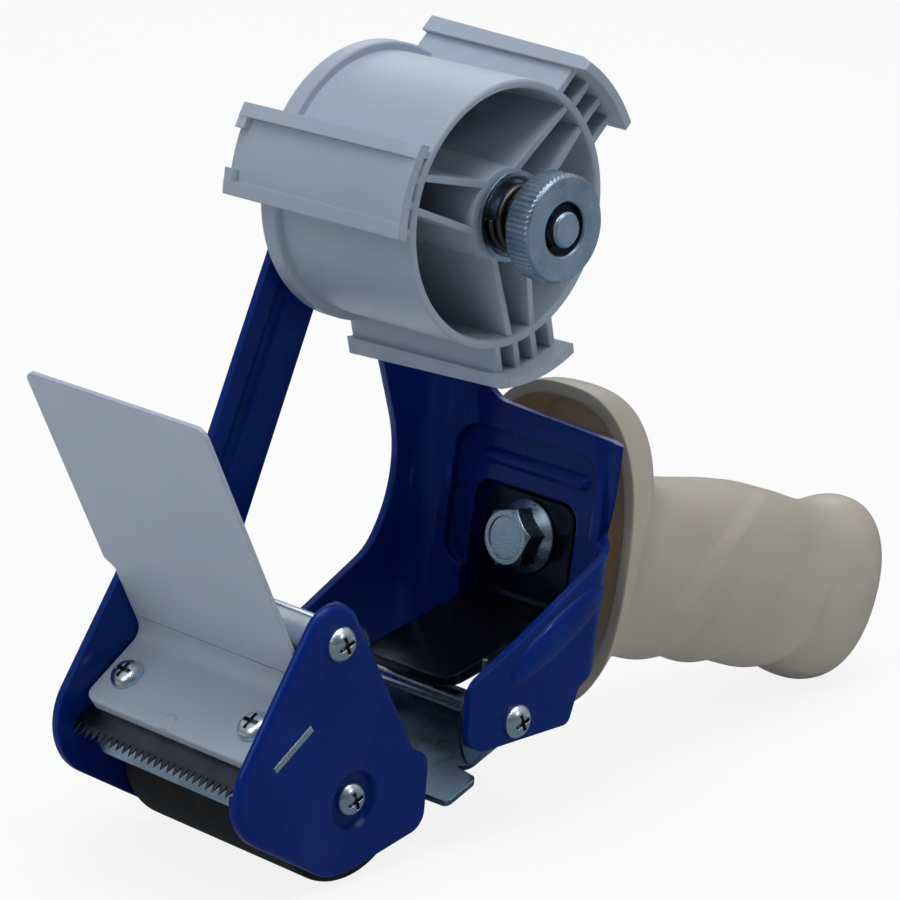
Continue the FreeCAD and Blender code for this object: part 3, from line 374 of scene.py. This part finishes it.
plastic = {
    "specular": 0.45,
    "scatter": 0.002,
    "cloud": (28.0, 3.0),
    "skin": (3.0, 0.6),  # detail and roughness; each look has its own grain as the scale
    "scuff": (160.0, 4.0, 0.65),
    "scuffScale": (1.0, 6.0, 1.0),
    "scuffTurn": (0.4, 0.0, 0.7),
    "hollowReach": 0.035,
    "hollowRange": (0.35, 0.88),
    "glossRange": (0.35, 0.68),
    "skinInGloss": 0.4,
    "skinInBump": 0.8,
    "bumpStrength": 0.1,
    "bumpDepth": 0.0002,
}
# the hollow colour of each look is a painted light put into its hollows
plasticLooks = {
    "greyPlastic": {
        "body": rgba(0.345, 0.41, 0.495),
        "shade": rgba(0.315, 0.38, 0.465),
        "paintedHollowLight": rgba(0.40, 0.475, 0.565),
        "rough": (0.36, 0.5),
        "grain": 1500.0,
        "edgeRadius": 0.0006,
        "inside": 0.08,
    },
    "ivoryPlastic": {
        "body": rgba(0.455, 0.425, 0.355),
        "shade": rgba(0.415, 0.385, 0.315),
        "paintedHollowLight": rgba(0.92, 0.72, 0.46),
        "rough": (0.34, 0.48),
        "grain": 1300.0,
        "edgeRadius": 0.0009,
        "inside": 0.12,
    },
    "whitePlastic": {
        "body": rgba(0.375, 0.44, 0.525),
        "shade": rgba(0.345, 0.41, 0.495),
        "paintedHollowLight": rgba(0.375, 0.44, 0.525),
        "rough": (0.38, 0.5),
        "grain": 1800.0,
        "edgeRadius": 0.0004,
        "inside": 0.1,
    },
    "blackPlastic": {
        "body": rgba(0.012, 0.012, 0.013),
        "shade": rgba(0.02, 0.02, 0.02),
        "paintedHollowLight": rgba(0.012, 0.012, 0.013),
        "rough": (0.4, 0.55),
        "grain": 1500.0,
        "edgeRadius": 0.0004,
        "inside": 0.0,
    },
    "brownFibre": {
        "body": rgba(0.16, 0.09, 0.045),
        "shade": rgba(0.11, 0.06, 0.03),
        "paintedHollowLight": rgba(0.11, 0.06, 0.03),
        "rough": (0.6, 0.8),
        "grain": 900.0,
        "edgeRadius": 0.0003,
        "inside": 0.0,
    },
}


def plasticMaterial(name, look):
    # moulding: faint flow clouds, satin skin with fine spark texture, light seen through thin walls;
    # hollows take a painted light that warms or lifts them, as light coming through the walls would
    material, flow, shader = newMaterial(name, {
        "Subsurface Weight": look["inside"],
        "Subsurface Scale": plastic["scatter"],
        "Specular IOR Level": plastic["specular"],
    })
    point = objectPoint(flow)
    cloud = noise(flow, point, *plastic["cloud"])
    skin = noise(flow, point, look["grain"], *plastic["skin"])
    scuff = noise(flow, objectPoint(flow, plastic["scuffScale"], plastic["scuffTurn"]), *plastic["scuff"])
    # painted light: hollows of the piece lifted towards a paler, warmer colour
    hollow = between(flow, openness(flow, plastic["hollowReach"]), 1.0, 0.0, *plastic["hollowRange"])
    colour = mixColour(flow, between(flow, cloud, 0.0, 1.0, *cloudRange), look["shade"], look["body"])
    colour = mixColour(flow, hollow, colour, look["paintedHollowLight"])
    gloss = blend(skin, scuff, plastic["skinInGloss"])
    height = blend(skin, scuff, plastic["skinInBump"])
    wire(flow, shader, {
        "Base Color": colour,
        "Roughness": between(flow, gloss, *look["rough"], *plastic["glossRange"]),
        "Normal": softNormal(
            flow, look["edgeRadius"], height, plastic["bumpStrength"], plastic["bumpDepth"]
        ),
    })
    return material


rubber = {
    "body": rgba(0.012, 0.0105, 0.0095),
    "dust": rgba(0.034, 0.03, 0.027),
    "specular": 0.25,
    "rings": (60.0, 3.0, 0.6),
    "ringScale": (1.0, 30.0, 1.0),
    "dustNoise": (220.0, 4.0, 0.65),
    "dustShare": 0.6,
    "dustRange": (0.5, 0.72),
    "rough": (0.5, 0.75),
    "glossRange": (0.3, 0.7),
    "dustInGloss": 0.5,
    "ringsInBump": 0.7,
    "bumpStrength": 0.25,
    "bumpDepth": 0.0003,
    "edgeRadius": 0.0006,
}


def rubberMaterial(name):
    # ground rubber: fine rings round the axis and a little pale dust
    material, flow, shader = newMaterial(name, {"Specular IOR Level": rubber["specular"]})
    rings = noise(flow, objectPoint(flow, rubber["ringScale"]), *rubber["rings"])
    dust = noise(flow, objectPoint(flow), *rubber["dustNoise"])
    dusty = between(flow, dust, 0.0, rubber["dustShare"], *rubber["dustRange"])
    gloss = blend(dust, rings, rubber["dustInGloss"])
    height = blend(rings, dust, rubber["ringsInBump"])
    wire(flow, shader, {
        "Base Color": mixColour(flow, dusty, rubber["body"], rubber["dust"]),
        "Roughness": between(flow, gloss, *rubber["rough"], *rubber["glossRange"]),
        "Normal": softNormal(
            flow, rubber["edgeRadius"], height, rubber["bumpStrength"], rubber["bumpDepth"]
        ),
    })
    return material


materials = {name: enamelMaterial(name, look) for name, look in enamelLooks.items()}
materials.update({name: zincMaterial(name, look) for name, look in zincLooks.items()})
materials.update({name: plasticMaterial(name, look) for name, look in plasticLooks.items()})
materials["darkRubber"] = rubberMaterial("darkRubber")
print("materials ready:", len(materials))

finishes = {
    "blueEnamel": ["main_frame", "front_cheek"],
    "blackEnamel": ["handle_bracket"],
    "blackSteel": ["axle_clip"],
    "zincSheet": ["retaining_flap"],
    "zincFresh": ["front_spacer", "side_screws", "rear_rod", "blade_carrier", "guard_screws"],
    "zincTurned": [
        "roller_axle", "roller_core", "handle_bolt", "handle_nut", "reel_axle", "axle_nut",
        "axle_washer", "pressure_washer", "spring_seat", "tension_knob",
    ],
    "bladeSteel": ["cutting_blade"],
    "springSteel": ["torsion_spring"],
    "oiledSteel": ["tension_spring"],
    "greyPlastic": ["tape_reel"],
    "ivoryPlastic": ["handle"],
    "whitePlastic": ["guard_foot", "guard_flap"],
    "blackPlastic": ["roller_bushes"],
    "brownFibre": ["friction_washer"],
    "darkRubber": ["roller_sleeve"],
}
for finish, dressed in finishes.items():
    for node in dressed:
        mesh = nodes[node].data
        mesh.materials.clear()
        mesh.materials.append(materials[finish])
print("finishes on", sum(len(dressed) for dressed in finishes.values()), "nodes")


# new pieces, all with their points in the frame: the gate mark is a turned grid, and the coil and
# the grip are merged copies of their CAD meshes

def newObject(name, mesh):
    piece = bpy.data.objects.new(name, mesh)
    bpy.context.scene.collection.objects.link(piece)
    return piece


def lathe(name, profile, steps, place, axis):
    # (r, h) turned by the angle a: place + h axis + r (cos a side + sin a across); both ends are poles
    axis = Vector(axis).normalized()
    side = axis.orthogonal().normalized()
    across = axis.cross(side)
    angles = np.linspace(0.0, 2 * math.pi, steps, endpoint=False)
    around = np.outer(np.cos(angles), side) + np.outer(np.sin(angles), across)
    radius, height = np.array(profile).T
    spine = np.array(place) + np.outer(height, axis)
    grid = spine[1:-1, None] + radius[1:-1, None, None] * around
    points = np.vstack([spine[:1], grid.reshape(-1, 3), spine[-1:]])

    turn = np.arange(steps)
    ahead = np.roll(turn, -1)
    near = 1 + steps * np.arange(len(grid) - 1)[:, None]
    low, last = len(points) - 1 - steps, len(points) - 1
    start = np.stack([0 * turn, 1 + turn, 1 + ahead], axis=-1)
    bands = np.stack([near + turn, near + steps + turn, near + steps + ahead, near + ahead], axis=-1)
    end = np.stack([low + ahead, low + turn, 0 * turn + last], axis=-1)
    mesh = bpy.data.meshes.new(name)
    mesh.from_pydata(points.tolist(), [], start.tolist() + bands.reshape(-1, 4).tolist() + end.tolist())
    mesh.shade_smooth()
    return newObject(name, mesh)


gateMark = {
    "place": (28.6, -1.0, 15.48),
    "axis": (0.58, 0.0, 0.815),
    "radius": 2.1,
    "rise": 0.16,
    "root": 0.4,
    "dimple": 0.1,
    "swell": 2.2,
    "rings": 14,
    "steps": 48,
}


def makeGateMark():
    # where the moulding was fed, on the foot of the guard: a low ring with a shallow dimple, whose
    # height at the share s of the radius is rise (dimple + (1 - dimple) sin(pi s ^ swell))
    radius, rise, root = [gateMark[key] * mm for key in ("radius", "rise", "root")]
    dimple = gateMark["dimple"]
    shares = np.linspace(0.1, 1.0, gateMark["rings"])
    heights = rise * (dimple + (1 - dimple) * np.sin(math.pi * shares ** gateMark["swell"]))
    profile = [(0.0, rise * dimple), *zip(radius * shares, heights), (radius, -root), (0.0, -root)]
    place = toFrame @ Vector(gateMark["place"])
    piece = lathe("gate_mark", profile, gateMark["steps"], place, gateMark["axis"])
    piece.data.materials.append(materials["whitePlastic"])
    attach(piece, "frame")


def rework(mesh, work):
    # opens a mesh for cutting and merging, and writes it back
    form = bmesh.new()
    form.from_mesh(mesh)
    work(form)
    form.to_mesh(mesh)
    form.free()


def mergeDoubles(form):
    bmesh.ops.remove_doubles(form, verts=form.verts, dist=1e-6)


def makePressedSpring():
    # the coil on the reel's axle: it keeps its place on the washer
    mesh = nodes["tension_spring"].data.copy()
    rework(mesh, mergeDoubles)
    piece = newObject("pressed_spring", mesh)
    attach(piece, "frame")
    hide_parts("tension_spring")
    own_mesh(piece)


crease = {
    "facing": (-0.4277, 0.7567, -0.4945),
    "offset": 0.00986,
    "halfWidth": 0.0016,
    "reach": 0.022,
    "height": 0.0012,
    "lowFade": (0.022, 0.036),
    "highFade": (0.050, 0.062),
    "skin": (0.1, 0.45),
    "cutWidth": 0.0048,
    "cutBand": (0.02, 0.064),
    "cell": 0.0007,
    "cuts": 6,
    "sharp": 35.0,
}


def ramp(values, start, end):
    return np.clip((values - start) / (end - start), 0.0, 1.0)


def fromCrease(points):
    # d = x fx + |y| fy + z fz - offset, the same on both sides of the grip
    mirrored = np.column_stack([points[:, 0], np.abs(points[:, 1]), points[:, 2]])
    return mirrored @ crease["facing"] - crease["offset"]


def sideways(points, normals):
    # 1 where the skin faces away from the middle plane of the grip
    return normals[:, 1] * np.sign(points[:, 1])


def creaseRise(points, normals):
    # slanting step: up within halfWidth of d = 0 and back to nothing at reach, faded low and high on
    # the grip, on the skin that faces sideways
    away, up, half = fromCrease(points), points[:, 2], crease["halfWidth"]
    rise = ramp(away, -half, half) * (1 - ramp(away, half, crease["reach"]))
    rise *= ramp(up, *crease["lowFade"]) * (1 - ramp(up, *crease["highFade"]))
    return crease["height"] * rise * ramp(sideways(points, normals), *crease["skin"])


def skinOf(mesh):
    # points and normals as whole arrays
    skin = np.empty((2, len(mesh.vertices) * 3), np.float32)
    mesh.vertices.foreach_get("co", skin[0])
    mesh.vertices.foreach_get("normal", skin[1])
    return skin.reshape(2, -1, 3).astype(float)


def longEdges(mesh):
    # edges beside the step that are longer than a cell
    points, normals = skinOf(mesh)
    low, high = crease["cutBand"]
    near = (np.abs(fromCrease(points)) < crease["cutWidth"]) & (sideways(points, normals) > 0.0)
    near &= (points[:, 2] > low) & (points[:, 2] < high)
    ends = np.empty(len(mesh.edges) * 2, np.int32)
    mesh.edges.foreach_get("vertices", ends)
    first, second = ends.reshape(-1, 2).T
    length = np.linalg.norm(points[first] - points[second], axis=1)
    return np.flatnonzero((near[first] | near[second]) & (length > crease["cell"]))


def makeCreasedHandle():
    # the grip with its crease: the CAD mesh, cut finer beside the step, and raised along its normals
    mesh = nodes["handle"].data.copy()
    mesh.attributes.remove(mesh.attributes["custom_normal"])
    rework(mesh, mergeDoubles)

    def halveEdges(form):
        form.edges.ensure_lookup_table()
        bmesh.ops.subdivide_edges(form, edges=[form.edges[index] for index in edges], cuts=1)
        bmesh.ops.triangulate(form, faces=[face for face in form.faces if len(face.verts) > 4])

    for cut in range(crease["cuts"]):
        edges = longEdges(mesh)
        if len(edges):
            rework(mesh, halveEdges)
    points, normals = skinOf(mesh)
    points += normals * creaseRise(points, normals)[:, None]
    mesh.vertices.foreach_set("co", points.astype(np.float32).ravel())
    rework(mesh, lambda form: bmesh.ops.triangulate(form, faces=form.faces))
    mesh.shade_smooth()
    mesh.set_sharp_from_angle(angle=math.radians(crease["sharp"]))
    piece = newObject("creased_handle", mesh)
    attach(piece, "frame")
    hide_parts("handle")


makeGateMark()
makePressedSpring()
makeCreasedHandle()
print("new pieces ready")


# stage: floor, soft lamps, world and the camera of the photograph

white = rgba(1.0, 1.0, 1.0)
floorPaper = {
    "half": 6.0,
    "roughness": 0.8,
    "grey": rgba(0.80, 0.80, 0.81),
    "pale": rgba(0.82, 0.82, 0.82),
    "mottle": (40.0, 2.0),
    "seen": 0.86,
    "inGloss": rgba(0.15, 0.18, 0.21),
    "patch": rgba(0.75, 0.82, 0.90),
    "patchNoise": (2.6, 1.0),
    "patchRange": (0.52, 0.66),
}


def rayIs(flow, kind):
    return flow.node("ShaderNodeLightPath", {}, {}, kind)


def makeFloor():
    # paper that looks nearly white, keeps the shadow, and shows dim with pale patches in gloss
    half = floorPaper["half"]
    mesh = bpy.data.meshes.new("floor")
    corners = [(-half, -half, 0.0), (half, -half, 0.0), (half, half, 0.0), (-half, half, 0.0)]
    mesh.from_pydata(corners, [], [(0, 1, 2, 3)])
    floor = newObject("floor", mesh)
    material, flow, shader = newMaterial("floorPaper", {"Roughness": floorPaper["roughness"]})
    point = objectPoint(flow)
    mottle = noise(flow, point, *floorPaper["mottle"])
    wire(flow, shader, {"Base Color": mixColour(flow, mottle, floorPaper["grey"], floorPaper["pale"])})
    patch = noise(flow, point, *floorPaper["patchNoise"])
    patch = between(flow, patch, 0.0, 1.0, *floorPaper["patchRange"])
    sheen = mixColour(flow, patch, floorPaper["inGloss"], floorPaper["patch"])
    glow = flow.node("ShaderNodeEmission", {}, {"Color": white, "Strength": 1.0})
    dim = flow.node("ShaderNodeEmission", {}, {"Color": sheen, "Strength": 1.0})
    lit = Flow(flow.tree, shader.outputs[0])
    seen = rayIs(flow, "Is Camera Ray") * floorPaper["seen"]
    mixed = flow.node("ShaderNodeMixShader", {}, {0: seen, 1: lit, 2: glow})
    mixed = flow.node("ShaderNodeMixShader", {}, {0: rayIs(flow, "Is Glossy Ray"), 1: mixed, 2: dim})
    flow.tree.links.new(mixed.socket, flow.tree.nodes["Material Output"].inputs["Surface"])
    mesh.materials.append(material)


paleRoom = {
    "colour": rgba(0.93, 0.96, 1.0),
    "low": 0.2,
    "high": 0.62,
    "heightRange": (0.0, 0.9),
    "front": (0.7, 0.7, 0.0),
    "frontStrength": 0.32,
    "frontRange": (-0.2, 0.8),
}


def makeWorld():
    # the room is light overhead and behind, and dim on the side that the tape is loaded from
    world = bpy.data.worlds.new("paleRoom")
    bpy.context.scene.world = world
    world.use_nodes = True
    flow = Flow(world.node_tree)
    ray = flow.node("ShaderNodeTexCoord", {}, {}, "Generated")
    height = dot(flow, ray, (0.0, 0.0, 1.0))
    front = dot(flow, ray, paleRoom["front"])
    sky = between(flow, height, paleRoom["low"], paleRoom["high"], *paleRoom["heightRange"])
    sky = sky * between(flow, front, 1.0, paleRoom["frontStrength"], *paleRoom["frontRange"])
    seen = rayIs(flow, "Is Camera Ray")
    wire(flow, world.node_tree.nodes["Background"], {
        "Color": mixColour(flow, seen, paleRoom["colour"], white),
        "Strength": seen + (1 - seen) * sky,
    })


lampAim = Vector((0.0, 0.0, 0.1))
lamps = [
    {"name": "topPanel", "place": (0.1, 0.15, 1.3), "width": 1.0, "paintedHollowLight": 0.8, "power": 8.0},
    {"name": "rollerSidePanel", "place": (1.3, 0.0, 0.8), "width": 0.5, "paintedHollowLight": 0.6, "power": 3.0},
    {"name": "backPanel", "place": (-0.9, -0.9, 0.9), "width": 0.8, "paintedHollowLight": 0.8, "power": 3.0},
    {"name": "highStrip", "place": (0.75, 0.2, 1.1), "width": 0.3, "paintedHollowLight": 0.03, "power": 1.4},
    {"name": "nearStrip", "place": (-0.15, 1.1, 0.9), "width": 0.03, "paintedHollowLight": 0.3, "power": 1.4},
]


def makeLamp(lamp):
    light = bpy.data.lights.new(lamp["name"], "AREA")
    light.shape = "RECTANGLE"
    light.size = lamp["width"]
    light.size_y = lamp["paintedHollowLight"]
    light.energy = lamp["power"]
    holder = newObject(lamp["name"], light)
    holder.location = lamp["place"]
    holder.rotation_euler = (lampAim - Vector(lamp["place"])).to_track_quat("-Z", "Y").to_euler()


photoCamera = {
    "eye": (543.43, 573.05, 286.96),
    "heading": -136.13,
    "tilt": -15.061,
    "roll": 3.635,
    "lens": 150.66,
    "sensor": 36.0,
    "clip": (0.02, 50.0),
}


def makeCamera():
    # eye in the drawing's millimetres; heading and tilt of the line of sight, then the roll about it
    heading, tilt, roll = [math.radians(photoCamera[key]) for key in ("heading", "tilt", "roll")]
    level = math.cos(tilt)
    ahead = Vector((math.cos(heading) * level, math.sin(heading) * level, math.sin(tilt)))
    right = ahead.cross(Vector((0.0, 0.0, 1.0))).normalized()
    right = Matrix.Rotation(-roll, 3, ahead) @ right
    up = right.cross(ahead)
    turn = Matrix((right, up, -ahead)).transposed().to_4x4()
    lens = bpy.data.cameras.new("photoCamera")
    lens.lens = photoCamera["lens"]
    lens.sensor_width = photoCamera["sensor"]
    lens.clip_start, lens.clip_end = photoCamera["clip"]
    camera = newObject("photoCamera", lens)
    place = Matrix.Translation(toFrame @ Vector(photoCamera["eye"]))
    camera.matrix_world = place @ Matrix.Rotation(-restTurn, 4, "Y") @ turn
    bpy.context.scene.camera = camera


makeFloor()
makeWorld()
for lamp in lamps:
    makeLamp(lamp)
makeCamera()
bpy.context.scene.view_settings.view_transform = "Standard"
print("stage ready")
